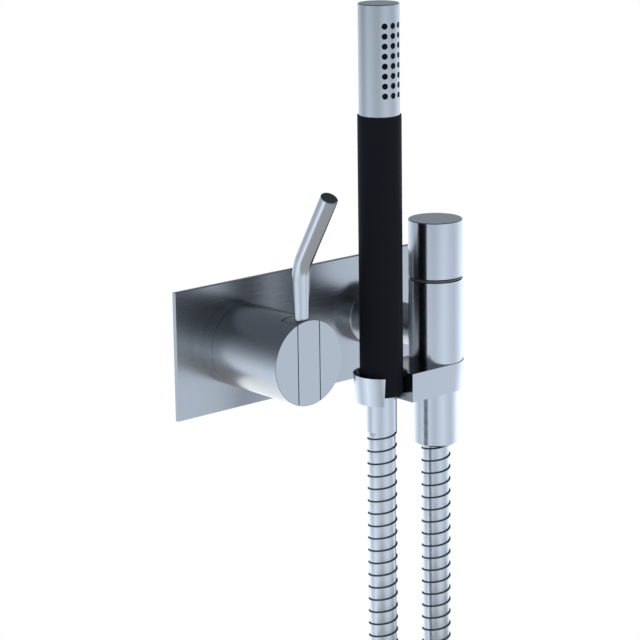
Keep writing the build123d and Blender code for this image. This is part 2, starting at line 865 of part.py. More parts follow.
def grip_adapter():
    """Threaded plug at the foot of the grip."""
    body = cyl(grip_bore - slip, grip_adapter_low, grip_adapter_high)
    step = grip_adapter_high - grip_adapter_height / 2
    body -= cyl(ferrule_thread_radius + slip, grip_adapter_low - cut, step)
    body -= cyl(waterway_radius + slip, step, grip_adapter_high + cut)
    return handset_frame * body


def handset_ferrule():
    """Plain sleeve at the hose's other end, screwed up into the grip."""
    body = cyl(ferrule_radius, ferrule_low, grip_low - slip)
    body += cyl(ferrule_thread_radius, grip_low - cut, grip_low + ferrule_thread_length)
    body -= cyl(ferrule_bore_radius, ferrule_low - cut, grip_low + ferrule_thread_length + cut)
    return handset_frame * body


# Hose: two hanging stretches and the coil that takes up the rest of its length

coil_x = (handset_x + outlet_x) / 2
coil_half_width = (coil_turns * coil_turn_pitch) / 2
coil_centre = (coil_x, valve_y, coil_centre_level)


def hose_route(x, top, side):
    """The chosen points of one stretch, from its fitting down to the coil."""
    coil_side = coil_x + side * coil_turn_radius
    depth = valve_y - side * coil_half_width
    return [(x, valve_y, top), (x, valve_y, hose_drop),
            (coil_side, depth, hose_spread), (coil_side, depth, coil_centre_level)]


def bend_radii(points):
    """Radius for each corner, from a share of the shorter run beside it."""
    radii = []
    for before, corner, after in zip(points, points[1:], points[2:]):
        first = Vector(*corner) - Vector(*before)
        second = Vector(*after) - Vector(*corner)
        turn = math.radians(first.get_angle(second))
        radii.append(fillet_share * min(first.length, second.length) / math.tan(turn / 2))
    return radii


def hose_stretch(points):
    """Plain round tube along straight runs joined by tangent arcs."""
    radii = bend_radii(points)
    path = FilletPolyline(*points, radius=radii)
    section = Plane(origin=points[0], z_dir=path % 0) * Circle(hose_radius)
    stretch = sweep(section, path=path)
    expected = math.pi * hose_radius ** 2 * path.length
    print("stretch of", round(path.length, 1), "mm, radii", [round(radius, 1) for radius in radii],
          "volume over section times length", round(stretch.volume / expected, 4))
    return stretch, path.length


def coil_section(grow):
    """Rounded section of the coiled turns, grown by a thickness."""
    width = 2 * (hose_radius + grow)
    depth = 2 * (coil_half_width + hose_radius + grow)
    outline = RectangleRounded(width, depth, coil_rounding + grow)
    return Plane(origin=(coil_turn_radius, 0, 0), x_dir=(1, 0, 0), z_dir=(0, 0, 1)) * outline


coil_frame = Pos(*coil_centre)


def hose_coil():
    """Closed ring with the outer shape of the coiled turns."""
    return coil_frame * revolve(coil_section(0), Axis.Y)


def hose_tie():
    """Strap round the turns at the bottom of the coil."""
    band = coil_section(tie_thickness) - coil_section(0)
    strap = revolve(band, Axis.Y, revolution_arc=tie_angle)
    return coil_frame * Rot(0, 90 - tie_angle / 2, 0) * strap


hose_routes = {
    "hose_tube_valve_side": hose_route(outlet_x, hose_top, 1),
    "hose_tube_handset_side": hose_route(handset_x, ferrule_low, -1),
}

pieces = [wall_plate, plate_gasket, valve_body, cartridge_base, cartridge_housing, port_seals, fixed_disc,
          moving_disc, disc_carrier, turret, turret_seal, cartridge_nut, mixer_collar,
          handle_body, pivot_pin, handle_grub_screw, rocker, lever_rod, outlet_arm,
          outlet_collar, outlet_body, groove_ring, knob, knob_grub_screw, headwork_body,
          spindle_seal, headwork_seal, headwork_fixed_disc, headwork_moving_disc,
          headwork_spindle, check_valve_housing, check_poppet, check_spring, holder_bracket,
          holder_lock_nut, hose_nut, hose_washer, hose_insert, spray_head, nozzle_insert,
          grip, head_adapter, waterway_tube, grip_adapter, handset_ferrule, hose_coil, hose_tie]

for piece in pieces:
    export_step(piece(), f"parts/{piece.__name__}.step")
hose_length = coil_turns * math.tau * coil_turn_radius
for name, route in hose_routes.items():
    stretch, stretch_length = hose_stretch(route)
    hose_length += stretch_length
    export_step(stretch, f"parts/{name}.step")
print("hose", round(hose_length), "mm long in all")
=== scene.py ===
# %% [markdown]
# # A concealed shower mixer with its hand shower
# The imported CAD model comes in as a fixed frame, in metres, with the wall at
# y = 0 and the room at -Y. This script gives it the looks: real finishes, a
# wound metal hose, softened edges and a studio. Each step says what the piece
# is, how it could be made in Blender, and why one way was taken.

# %% Load the frame
import bmesh
import bpy
import json
import math
from mathutils import Matrix, Vector


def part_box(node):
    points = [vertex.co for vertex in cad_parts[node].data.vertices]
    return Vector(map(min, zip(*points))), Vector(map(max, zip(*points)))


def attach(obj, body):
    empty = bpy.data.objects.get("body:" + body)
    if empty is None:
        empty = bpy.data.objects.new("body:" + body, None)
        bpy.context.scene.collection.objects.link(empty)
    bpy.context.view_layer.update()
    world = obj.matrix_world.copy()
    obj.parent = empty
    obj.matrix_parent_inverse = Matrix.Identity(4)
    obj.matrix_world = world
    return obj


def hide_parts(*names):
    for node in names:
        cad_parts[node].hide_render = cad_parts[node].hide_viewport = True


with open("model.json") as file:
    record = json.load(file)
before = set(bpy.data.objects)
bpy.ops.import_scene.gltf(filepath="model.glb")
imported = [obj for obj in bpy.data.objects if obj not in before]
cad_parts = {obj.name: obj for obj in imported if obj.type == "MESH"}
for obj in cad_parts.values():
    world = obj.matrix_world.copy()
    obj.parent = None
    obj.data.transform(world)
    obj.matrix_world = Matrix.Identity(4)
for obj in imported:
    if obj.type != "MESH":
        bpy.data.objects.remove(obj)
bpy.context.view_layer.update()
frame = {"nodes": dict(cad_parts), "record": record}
MM = 0.001

# %% [markdown]
# ## Where the main axes are
# Every turned piece has an axis that can be read from the box of a CAD node:
# the mixer's and the arm's run out of the wall along -Y, the outlet's and the
# hand shower's stand upright. Reading them from the frame keeps this script
# right when the model moves, and no place is typed in twice. An axis is kept
# as a point, a direction and the normal of the round sections across it. On a
# slanted cylinder the last two differ, and on a straight one they agree.

# %% Axes read from the frame
ALONG_X = Vector((1, 0, 0))
ALONG_Y = Vector((0, 1, 0))
ALONG_Z = Vector((0, 0, 1))


def middle(node):
    """Centre of a node's box at rest."""
    low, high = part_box(node)
    return (Vector(low) + Vector(high)) / 2


def straight_axis(place, direction):
    """An axis whose round sections lie square to it."""
    return place, direction, direction


mixer_axis = straight_axis(middle("mixer_collar"), ALONG_Y)
arm_axis = straight_axis(middle("outlet_collar"), ALONG_Y)
outlet_axis = straight_axis(middle("hose_nut"), ALONG_Z)
stick_axis = straight_axis(middle("grip"), ALONG_Z)
print("outlet axis at", [round(c, 4) for c in outlet_axis[0]])

# %% [markdown]
# ## The camera
# The object is seen from the left, a little from above, through a long lens,
# so its upright lines stay almost parallel. A camera can be aimed with a Track
# To constraint, but its own matrix is plainer: three unit vectors, to the
# right, up and back, are its columns. The small roll is in the photograph.

# %% Camera
photo_pixels = 640
focal_pixels = 2593.13
sensor_width = 36.0
nearest_seen = 0.05
farthest_seen = 20
yaw = math.radians(40.84)
pitch = math.radians(14.11)
roll = math.radians(-0.80)
camera_place = Vector((-0.80128, -0.94488, 0.31408))

back = Vector((-math.sin(yaw) * math.cos(pitch), -math.cos(yaw) * math.cos(pitch), math.sin(pitch)))
level_right = Vector((math.cos(yaw), -math.sin(yaw), 0))
level_up = back.cross(level_right)
right = math.cos(roll) * level_right + math.sin(roll) * level_up
up = math.cos(roll) * level_up - math.sin(roll) * level_right

camera = bpy.data.objects.new("camera", bpy.data.cameras.new("camera"))
camera.data.sensor_width = sensor_width
camera.data.lens = focal_pixels / photo_pixels * sensor_width
camera.data.clip_start = nearest_seen
camera.data.clip_end = farthest_seen
turn = Matrix((right, up, back)).transposed().to_4x4()
camera.matrix_world = Matrix.Translation(camera_place) @ turn
bpy.context.collection.objects.link(camera)
bpy.context.scene.camera = camera
print("lens", round(camera.data.lens, 1), "mm")

# %% [markdown]
# ## Small helpers
# Every new piece goes through the same few steps: a bmesh becomes a mesh, the
# mesh an object, and the object rides on a body and stands for a CAD node.
# Writing that once keeps each later cell to the shape itself.

# %% From bmesh to a piece that rides on a body
def add_piece(name, shape, body, replaced=()):
    """Make an object of a bmesh, let it ride on a body and stand for CAD nodes."""
    mesh = bpy.data.meshes.new(name)
    shape.to_mesh(mesh)
    shape.free()
    return place_piece(name, mesh, body, replaced)


def place_piece(name, mesh, body, replaced=()):
    """The same for a mesh that is ready."""
    piece = bpy.data.objects.new(name, mesh)
    bpy.context.collection.objects.link(piece)
    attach(piece, body)
    if replaced:
        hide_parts(*replaced)
    return piece


def body_of_node(node):
    """The body that a node belongs to."""
    for body, nodes in frame["record"]["behaviour"]["bodies"].items():
        if node in nodes:
            return body


def slot_of_node(node):
    """The material slot that the record gives a node."""
    for entry in frame["record"]["subparts"]:
        if entry["node"] == node:
            return entry["material_slot"]


print("the hose's coil is on", body_of_node("hose_coil"), "in slot", slot_of_node("hose_coil"))

# %% [markdown]
# ## The hose's facts
# A cord's facts come before its shape. This hose is one fixed length, 1.75 m,
# and both its ends go into fittings. It hangs straight down from them, and the
# length that nobody needs is wound in a coil under a tie. The places where it
# starts and ends are read from the frame.

# %% Facts of the hose
hose_radius = 7.0 * MM
outlet_x = outlet_axis[0].x
stick_x = stick_axis[0].x
hang_y = outlet_axis[0].y
hose_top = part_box("hose_tube_valve_side")[1][2]
ferrule_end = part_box("handset_ferrule")[0][2]
print("the hose starts at height", round(hose_top, 4), "and ends at", round(ferrule_end, 4))

# %% [markdown]
# ## The hose's route
# The route is a few places in the air: down from the outlet, out to the side,
# round the coil, and up again to the hand shower. The coil's turns are worked
# out by a loop, each a little further back than the last, so that they lie
# side by side. A smooth curve will cut the corners between these points, so
# the coil's points stand a little outside the wanted radius.

# %% Points of the hose's route
straight_end = -150 * MM
first_bend = -192 * MM
spread = -249 * MM
coil_level = -316 * MM
coil_radius = 75 * MM
coil_x = (outlet_x + stick_x) / 2
coil_turns = 2.5
coil_step = 14.5 * MM
points_a_turn = 16

half_width = coil_turns * coil_step / 2
front_y = hang_y - half_width
rear_y = hang_y + half_width
route = [(outlet_x, hang_y, hose_top), (outlet_x, hang_y, straight_end),
         (outlet_x, hang_y, first_bend), (coil_x + coil_radius, front_y, spread)]
share_between_points = (3 + math.cos(math.tau / points_a_turn)) / 4
control_radius = coil_radius / share_between_points
coil_points = int(coil_turns * points_a_turn)
for number in range(coil_points + 1):
    angle = -math.tau * number / points_a_turn
    y = front_y + (rear_y - front_y) * number / coil_points
    route.append((coil_x + control_radius * math.cos(angle), y,
                  coil_level + control_radius * math.sin(angle)))
route += [(coil_x - coil_radius, rear_y, spread), (stick_x, hang_y, first_bend),
          (stick_x, hang_y, straight_end), (stick_x, hang_y, ferrule_end)]
print("route of", len(route), "points,", coil_points + 1, "of them on the coil")

# %% [markdown]
# ## The hose's line
# A NURBS curve of order 3 is a natural line for a hose: it is smooth, and it
# only needs a point where the hose changes direction. Blender turns it into
# a mesh of short straight edges, and that line is all that is kept. A curve
# with a bevel would give a plain tube, which can't carry the wound strip.

# %% Line of the hose
curve_order = 3
line_fineness = 24

curve = bpy.data.curves.new("hose_route", "CURVE")
curve.dimensions = "3D"
curve.resolution_u = line_fineness
spline = curve.splines.new("NURBS")
spline.points.add(len(route) - 1)
for point, place in zip(spline.points, route):
    point.co = (*place, 1)
spline.order_u = curve_order
spline.use_endpoint_u = True
route_object = bpy.data.objects.new("hose_route", curve)
line_mesh = bpy.data.meshes.new_from_object(route_object)
hose_line = [vertex.co.copy() for vertex in line_mesh.vertices]
bpy.data.objects.remove(route_object)
bpy.data.meshes.remove(line_mesh)

# %% [markdown]
# ## Axes that travel along the hose
# To lay anything round a bent line, each point of the line needs two
# directions across it. Taking them from a fixed direction would twist them
# where the line turns. Here each pair is the last pair, turned only as much
# as the line itself has turned, so a pattern runs on without a twist.

# %% Travelling axes
def travelling_axes(line):
    """Distance, place and two cross directions along a line, without twist."""
    tangent = (line[1] - line[0]).normalized()
    side = tangent.orthogonal().normalized()
    distance = 0.0
    stations = []
    for number, place in enumerate(line):
        ahead = line[min(number + 1, len(line) - 1)]
        behind = line[max(number - 1, 0)]
        new_tangent = (ahead - behind).normalized()
        side = tangent.rotation_difference(new_tangent) @ side
        side = (side - side.dot(new_tangent) * new_tangent).normalized()
        tangent = new_tangent
        if number:
            distance += (place - line[number - 1]).length
        stations.append((distance, place, side, tangent.cross(side)))
    return stations


def beside_line(near, far, reach, angle, radius):
    """A place at a distance along the line, at an angle round it and a radius from it."""
    share = (reach - near[0]) / (far[0] - near[0])
    side = near[2].lerp(far[2], share).normalized()
    other = near[3].lerp(far[3], share).normalized()
    place = near[1].lerp(far[1], share)
    return place + radius * (math.cos(angle) * side + math.sin(angle) * other)


stations = travelling_axes(hose_line)
print("stations", len(stations), "over", round(stations[-1][0], 3), "m")

# %% [markdown]
# ## The wound strip
# A metal shower hose is one strip, wound so that each turn hooks into the
# next. From outside one sees bright bands, and between them a thin rib
# that stands a little proud. The rib is dark: partly a dark seal, partly
# painted shade of the gap between the turns. A bump pattern would leave the
# outline smooth, and displacing a plain tube would need a very fine mesh to
# catch the thin rib. Here a flat grid is laid round the line as the strip is:
# its length runs round and round, its width is one band from rib to rib. So
# the edges lie exactly along the spiral, with few faces. The strip starts two
# turns before the line and ends one turn after it, and what lies beyond an end
# is gathered in that end, so both ends come out square.

# %% A strip wound round the hose's line
turns_before = 2
turns_after = 1


def flat_strip(steps, rows, rib_rows):
    """A flat grid with the strip's steps and rows, its rib in material 1."""
    shape = bmesh.new()
    bmesh.ops.create_grid(shape, x_segments=steps, y_segments=rows, size=1)
    for face in shape.faces:
        row = int((face.calc_center_median().y + 1) / 2 * rows)
        face.smooth = True
        face.material_index = int(row < rib_rows)
    return shape


def wound_strip(stations, pitch, start, sides, profile, rib_rows):
    """The grid laid round a line as one right-handed strip."""
    total = stations[-1][0]
    rows = len(profile) - 1
    steps = (math.ceil(total / pitch) + turns_before + turns_after) * sides
    shape = flat_strip(steps, rows, rib_rows)
    cells = []
    for vertex in shape.verts:
        step = round((vertex.co.x + 1) / 2 * steps)
        across = round((vertex.co.y + 1) / 2 * rows)
        wanted = start + pitch * (step / sides - turns_before) + profile[across][0]
        cells.append((wanted, step, across, vertex))
    cells.sort(key=lambda cell: cell[:3])
    station = 0
    for wanted, step, across, vertex in cells:
        reach = min(max(wanted, 0.0), total)
        while station < len(stations) - 2 and stations[station + 1][0] < reach:
            station += 1
        radius = profile[across][1] if reach == wanted else profile[0][1]
        angle = math.tau * step / sides
        vertex.co = beside_line(stations[station], stations[station + 1], reach, angle, radius)
    return shape


strip_pitch = 6.3036 * MM
strip_start = 2.36 * MM
strip_profile = [(0.00, 6.60), (0.08, 7.10), (0.26, 7.26), (0.50, 7.26), (0.68, 7.10),
                 (0.76, 6.60), (3.50, 6.68), (strip_pitch / MM, 6.60)]
strip_profile = [(along * MM, radius * MM) for along, radius in strip_profile]
rib_rows = 5
hose_sides = 28
strip = wound_strip(stations, strip_pitch, strip_start, hose_sides, strip_profile, rib_rows)

# %% [markdown]
# ## The hose as one closed piece
# Where one turn of the strip meets the next, their edges lie on each other, so
# merging the doubles joins them. The ends are closed with a face each. Smooth
# shading rounds the bands, and the edges where rib and band meet are marked
# sharp, so that the rib stays crisp.

# %% Hose
strip_weld = 0.01 * MM
crease_angle = math.radians(35)
bmesh.ops.remove_doubles(strip, verts=strip.verts, dist=strip_weld)
bmesh.ops.dissolve_degenerate(strip, edges=strip.edges, dist=strip_weld / 2)
open_edges = [edge for edge in strip.edges if edge.is_boundary]
bmesh.ops.holes_fill(strip, edges=open_edges, sides=0)
bmesh.ops.recalc_face_normals(strip, faces=strip.faces)
for edge in strip.edges:
    if len(edge.link_faces) == 2 and edge.calc_face_angle(0) > crease_angle:
        edge.smooth = False
print("hose faces", len(strip.faces), "open edges", sum(edge.is_boundary for edge in strip.edges))
hose = add_piece("metal_hose", strip, body_of_node("hose_coil"),
                 ["hose_tube_valve_side", "hose_tube_handset_side", "hose_coil"])

# %% [markdown]
# ## The tie's path
# A soft strap holds the coiled turns together. Its path round the turns is a
# rectangle with rounded corners. That is drawn as four points whose corners
# are bevelled, which gives even arcs without working them out.

# %% Path of the tie
tie_width = 16 * MM
tie_gap = 0.45 * MM
tie_rounding = 6.4 * MM
rounding_steps = 8

strap = bmesh.new()
half_radial = hose_radius + tie_gap
half_depth = half_width + hose_radius + tie_gap
corners = [(-1, -1), (1, -1), (1, 1), (-1, 1)]
ring = [strap.verts.new((0, y * half_depth, r * half_radial)) for r, y in corners]
for first, second in zip(ring, ring[1:] + ring[:1]):
    strap.edges.new((first, second))
bmesh.ops.bevel(strap, geom=list(strap.verts), offset=tie_rounding, segments=rounding_steps,
                profile=0.5, affect="VERTICES", material=-1)
print("tie", round(2 * half_depth / MM, 1), "mm deep and", round(2 * half_radial / MM, 1), "mm high inside")

# %% [markdown]
# ## The tie on the coil
# The path is pulled out to the strap's width in small steps and bent so that
# it follows the coil. A straight strap would stand off the bent hose at both
# of its edges. Solidify gives it a thickness and Bevel rounds its edges,
# because both stay easy to change.

# %% Tie round the coil
tie_thickness = 1.1 * MM
tie_edge_rounding = 0.25 * MM
strap_steps = 8

bmesh.ops.transform(strap, matrix=Matrix.Translation((-tie_width / 2, 0, 0)), verts=strap.verts)
edges = list(strap.edges)
for _ in range(strap_steps):
    pulled = bmesh.ops.extrude_edge_only(strap, edges=edges)["geom"]
    moved = [item for item in pulled if isinstance(item, bmesh.types.BMVert)]
    edges = [item for item in pulled if isinstance(item, bmesh.types.BMEdge)]
    bmesh.ops.translate(strap, vec=(tie_width / strap_steps, 0, 0), verts=moved)
for vertex in strap.verts:
    angle = vertex.co.x / coil_radius
    reach = coil_radius - vertex.co.z
    vertex.co = Vector((coil_x + reach * math.sin(angle), hang_y + vertex.co.y,
                        coil_level - reach * math.cos(angle)))
bmesh.ops.recalc_face_normals(strap, faces=strap.faces)
for face in strap.faces:
    face.smooth = True
tie = add_piece("coil_tie", strap, body_of_node("hose_tie"), ["hose_tie"])
wall = tie.modifiers.new("thickness", "SOLIDIFY")
wall.thickness = tie_thickness
wall.offset = 1
rounded = tie.modifiers.new("rounded edges", "BEVEL")
rounded.width = tie_edge_rounding
rounded.segments = 2
rounded.limit_method = "ANGLE"
print("tie faces before its thickness", len(tie.data.polygons))

# %% [markdown]

# %% [markdown]
# ## True curves on the CAD pieces
# The frame's meshes are loose flat triangles, which would show as facets in
# polished steel. Adding triangles would be heavy, and shading them smooth as
# they are can't work on loose ones. So a copy is merged, its corners sharper
# than a given angle stay sharp, and where a face lies on a known cylinder its
# normals are set to point straight away from that cylinder's axis. Holes and
# slots cut into the cylinder then leave no shading marks round them.

# %% Normals of a cylinder
round_slack = 0.06 * MM
least_radius = 0.5 * MM


def lies_round(mesh, face, axis):
    """How well a face lies on a straight or slanted cylinder, with its corner normals."""
    point, direction, section = axis
    arms = []
    for index in face.vertices:
        arm = mesh.vertices[index].co - point
        arms.append(arm - arm.dot(section) / direction.dot(section) * direction)
    lengths = [arm.length for arm in arms]
    if max(lengths) - min(lengths) > round_slack or min(lengths) < least_radius:
        return 0, None
    leaning = [arm - arm.dot(direction) / direction.dot(section) * section for arm in arms]
    leaning = [arm.normalized() for arm in leaning]
    facing = [arm.dot(face.normal) for arm in leaning]
    fit = min(abs(value) for value in facing)
    return fit, [math.copysign(1, value) * arm for arm, value in zip(leaning, facing)]


print("a face is round when its corners keep one radius within", round_slack / MM, "mm")

# %% [markdown]
# ## The broken edges of the handle
# The front of the handle and its strip are cut flat, and a maker breaks such
# edges so that they don't cut the hand. These broken edges get a dark, dull
# steel, painted shade that draws them as fine dark shadow lines, also on both
# sides of the slot. Bevel makes them on every edge of the foremost face. The
# flat triangles are joined to one face first, because a bevel on a loose
# diagonal would cut across the front.

# %% Broken front edges
edge_break = 0.15 * MM
front_depth = 0.01 * MM
flat_angle = math.radians(0.3)


def break_front_edges(shape):
    """Bevel the edges of the foremost face in material 1, the painted edge shade, and count them."""
    level = min(vertex.co.y for vertex in shape.verts) + front_depth
    bmesh.ops.dissolve_limit(shape, angle_limit=flat_angle, verts=shape.verts, edges=shape.edges)
    front = [edge for edge in shape.edges if max(v.co.y for v in edge.verts) < level]
    bmesh.ops.bevel(shape, geom=front, offset=edge_break, segments=1, profile=0.5,
                    affect="EDGES", clamp_overlap=True, material=1)
    return len(front)


print("front edges are broken by", edge_break / MM, "mm")

# %% [markdown]
# ## A finished copy of a node
# The three steps come together here: merge the copy, break its front edges
# where that is asked for, and set its normals. Several cylinders can be given,
# and each face takes the one that it fits best. A face that fits none, such
# as a flat end, keeps the normals that smooth shading gives it.

# %% Smooth copies of rigid nodes
sharp_angle = math.radians(25)
node_weld = 0.001 * MM
least_fit = 0.95


def smooth_copy(node, axes, material, edge_shade_material=None):
    """A merged copy of a CAD node with the normals of its true curves."""
    shape = bmesh.new()
    shape.from_mesh(frame["nodes"][node].data)
    bmesh.ops.remove_doubles(shape, verts=shape.verts, dist=node_weld)
    for face in shape.faces:
        face.smooth = True
        face.material_index = 0
    if edge_shade_material:
        print(node, "broken front edges", break_front_edges(shape))
    for edge in shape.edges:
        edge.smooth = len(edge.link_faces) == 2 and edge.calc_face_angle(0) < sharp_angle
    mesh = bpy.data.meshes.new(node + "_finished")
    shape.to_mesh(mesh)
    shape.free()
    fallback = [corner.vector.copy() for corner in mesh.corner_normals]
    normals = []
    for face in mesh.polygons:
        fits = [lies_round(mesh, face, axis) for axis in axes]
        fit, found = max(fits, key=lambda entry: entry[0], default=(0, None))
        normals += found if fit > least_fit else [fallback[index] for index in face.loop_indices]
    mesh.normals_split_custom_set(normals)
    mesh.materials.append(material)
    if edge_shade_material:
        mesh.materials.append(edge_shade_material)
    return place_piece(node + "_finished", mesh, body_of_node(node), [node])


print("corners over", round(math.degrees(sharp_angle)), "degrees stay sharp")

# %% [markdown]
# ## Building blocks of a finish
# A finish is a Principled shader with a noise behind it. The same noise tints
# the colour, shifts the roughness and lifts the surface, so that the three
# belong together as they do on a real surface. Each of these steps is a few
# nodes, and each gets a helper. Object coordinates hold the pattern on its
# piece while the piece moves.

# %% Nodes for any finish
noise_low = 0.3
noise_high = 0.7
noise_detail = 5.0
noise_roughness = 0.6


def new_material(name):
    """A new material, with its nodes and its links."""
    material = bpy.data.materials.new(name)
    material.use_nodes = True
    return material, material.node_tree.nodes, material.node_tree.links


def stretched_noise(nodes, links, scale):
    """Noise on object coordinates, with its own scale along each axis."""
    place = nodes.new("ShaderNodeTexCoord")
    mapping = nodes.new("ShaderNodeMapping")
    mapping.inputs["Scale"].default_value = scale
    noise = nodes.new("ShaderNodeTexNoise")
    noise.inputs["Scale"].default_value = 1.0
    noise.inputs["Detail"].default_value = noise_detail
    noise.inputs["Roughness"].default_value = noise_roughness
    links.new(place.outputs["Object"], mapping.inputs["Vector"])
    links.new(mapping.outputs["Vector"], noise.inputs["Vector"])
    return noise


def toned(nodes, links, source, dark, light):
    """A colour that runs between two tones with a value."""
    ramp = nodes.new("ShaderNodeValToRGB")
    ramp.color_ramp.elements[0].position = noise_low
    ramp.color_ramp.elements[0].color = (*dark, 1)
    ramp.color_ramp.elements[1].position = noise_high
    ramp.color_ramp.elements[1].color = (*light, 1)
    links.new(source, ramp.inputs["Fac"])
    return ramp.outputs["Color"]


def ranged(nodes, links, source, low, high):
    """A value spread from low to high."""
    spread_node = nodes.new("ShaderNodeMapRange")
    spread_node.inputs["From Min"].default_value = noise_low
    spread_node.inputs["From Max"].default_value = noise_high
    spread_node.inputs["To Min"].default_value = low
    spread_node.inputs["To Max"].default_value = high
    links.new(source, spread_node.inputs["Value"])
    return spread_node.outputs["Result"]


def lifted(nodes, links, source, height, shader):
    """Bump of a given height in metres on a shader."""
    bump = nodes.new("ShaderNodeBump")
    bump.inputs["Strength"].default_value = 1.0
    bump.inputs["Distance"].default_value = height
    links.new(source, bump.inputs["Height"])
    links.new(bump.outputs["Normal"], shader.inputs["Normal"])


print("noise is used from", noise_low, "to", noise_high)

# %% [markdown]
# ## Steel
# Almost all that shows is stainless steel with a fine brushed finish. In a
# renderer such steel is mostly its surroundings: a metallic surface, a cool
# grey, and a roughness low enough to mirror the black grip as a soft band. A
# picture of brushed steel would repeat and could not turn round a tube. A
# noise that is stretched a hundredfold along the brushing can. It is kept very
# quiet, less than half a micrometre deep, because at this distance the
# brushing only shows as a soft sheen. Turned pieces are brushed round their
# axis, the plate and the lever along their length. The broken edges get a
# darker, duller steel: painted shade that draws them as thin shadow lines.

# %% Metals
tint = 0.004
roughness_shift = 0.005


def brushed_metal(name, tone, brushing, roughness, depth):
    """Metal brushed across the axis that has the finest scale."""
    material, nodes, links = new_material(name)
    shader = nodes["Principled BSDF"]
    shader.inputs["Metallic"].default_value = 1.0
    noise = stretched_noise(nodes, links, brushing)
    dark = [channel * (1 - tint) for channel in tone]
    light = [channel * (1 + tint) for channel in tone]
    links.new(toned(nodes, links, noise.outputs["Fac"], dark, light), shader.inputs["Base Color"])
    rough = ranged(nodes, links, noise.outputs["Fac"], roughness - roughness_shift,
                   roughness + roughness_shift)
    links.new(rough, shader.inputs["Roughness"])
    lifted(nodes, links, noise.outputs["Fac"], depth, shader)
    return material


steel_tone = (0.405, 0.415, 0.427)
sheet_tone = (0.400, 0.409, 0.420)
# The dark grey of the broken edges is painted shade: it draws them as thin shadow lines.
edge_shade_tone = (0.16, 0.17, 0.18)
brush_depth = 0.0003 * MM
fine = 9000
long_stroke = 90
strip_grain = 700
round_upright = (long_stroke, long_stroke, fine)
round_outward = (long_stroke, fine, long_stroke)
along_sheet = (long_stroke / 3, fine, fine)
along_lever = (fine, long_stroke, long_stroke)
no_direction = (strip_grain, strip_grain, strip_grain)

steel_upright = brushed_metal("steel_turned_upright", steel_tone, round_upright,
                              roughness=0.19, depth=brush_depth)
steel_outward = brushed_metal("steel_turned_outward", steel_tone, round_outward,
                              roughness=0.26, depth=brush_depth)
steel_sheet = brushed_metal("steel_sheet", sheet_tone, along_sheet,
                            roughness=0.27, depth=brush_depth / 4)
steel_head = brushed_metal("steel_head", steel_tone, round_upright,
                           roughness=0.26, depth=brush_depth)
steel_lever = brushed_metal("steel_lever", steel_tone, along_lever,
                            roughness=0.20, depth=brush_depth / 2)
# Dark steel for the broken edges: painted shade that draws them as thin shadow lines.
painted_edge_shade = brushed_metal("steel_edge_painted_shade", edge_shade_tone, round_outward,
                          roughness=0.5, depth=brush_depth)
steel_strip = brushed_metal("steel_strip", steel_tone, no_direction,
                            roughness=0.22, depth=brush_depth)
print("brushing", round(brush_depth / MM * 1000, 2), "micrometres deep")

# %% [markdown]
# ## Coatings and rubber
# The grip is a black coating with almost no gloss, and the nozzles are soft
# black rubber, as the seals inside are. The hose's rib is dark, partly as a
# seal and partly as painted shade of the gap between the turns. The ring in
# the outlet's groove is a dark grey that is painted shade of its recess, and
# the tie is a woven strap. Each is a Principled shader with an even noise of
# its own: faint on the coating, deep enough on the strap to break up its light
# as threads do.

# %% Finishes of the dark pieces
def grained(name, dark, light, grain, roughness, height, metallic=0.0, gloss=0.5):
    """A finish with an even grain of one size."""
    material, nodes, links = new_material(name)
    shader = nodes["Principled BSDF"]
    shader.inputs["Metallic"].default_value = metallic
    shader.inputs["Specular IOR Level"].default_value = gloss
    noise = stretched_noise(nodes, links, (grain, grain, grain))
    links.new(toned(nodes, links, noise.outputs["Fac"], dark, light), shader.inputs["Base Color"])
    links.new(ranged(nodes, links, noise.outputs["Fac"], *roughness), shader.inputs["Roughness"])
    lifted(nodes, links, noise.outputs["Fac"], height, shader)
    return material


black_coating = grained("black_coating", (0.0090, 0.0090, 0.0133), (0.0104, 0.0104, 0.0154),
                        grain=2500, roughness=(0.50, 0.60), height=0.004 * MM, gloss=0.03)
black_rubber = grained("black_rubber", (0.002, 0.002, 0.003), (0.004, 0.004, 0.005),
                       grain=1800, roughness=(0.55, 0.70), height=0.008 * MM, gloss=0.08)
# The rib's dark colour is partly a dark seal and partly painted shade of the gap between the turns.
rib_seal_and_painted_shade = grained("rib_seal_and_painted_shade", (0.030, 0.042, 0.056), (0.045, 0.060, 0.078),
                   grain=1500, roughness=(0.40, 0.50), height=0.003 * MM, gloss=0.3)
# The ring in the outlet's groove sits in shade there; its dark grey is painted shade of the recess.
painted_groove_shade = grained("groove_ring_painted_shade", (0.085, 0.095, 0.110), (0.105, 0.118, 0.135),
                      grain=1200, roughness=(0.35, 0.45), height=0.002 * MM)
seal_rubber = grained("seal_rubber", (0.012, 0.012, 0.013), (0.022, 0.022, 0.023),
                      grain=1500, roughness=(0.55, 0.70), height=0.010 * MM)
woven_strap = grained("woven_strap", (0.016, 0.017, 0.020), (0.040, 0.041, 0.045),
                      grain=3200, roughness=(0.75, 0.92), height=0.05 * MM, gloss=0.2)
print("materials so far", len(bpy.data.materials))

# %% [markdown]
# ## Brass, plastic and ceramic
# These finishes are behind the wall or inside, and show when the object is
# turned round or taken apart. The valve's body is cast brass with a coarse
# sand-cast skin, smaller brass pieces are turned on a lathe, the cartridge is
# moulded plastic with a faint orange peel, and its discs are white ceramic,
# ground almost to a mirror. Springs, pins and screws are bright steel.

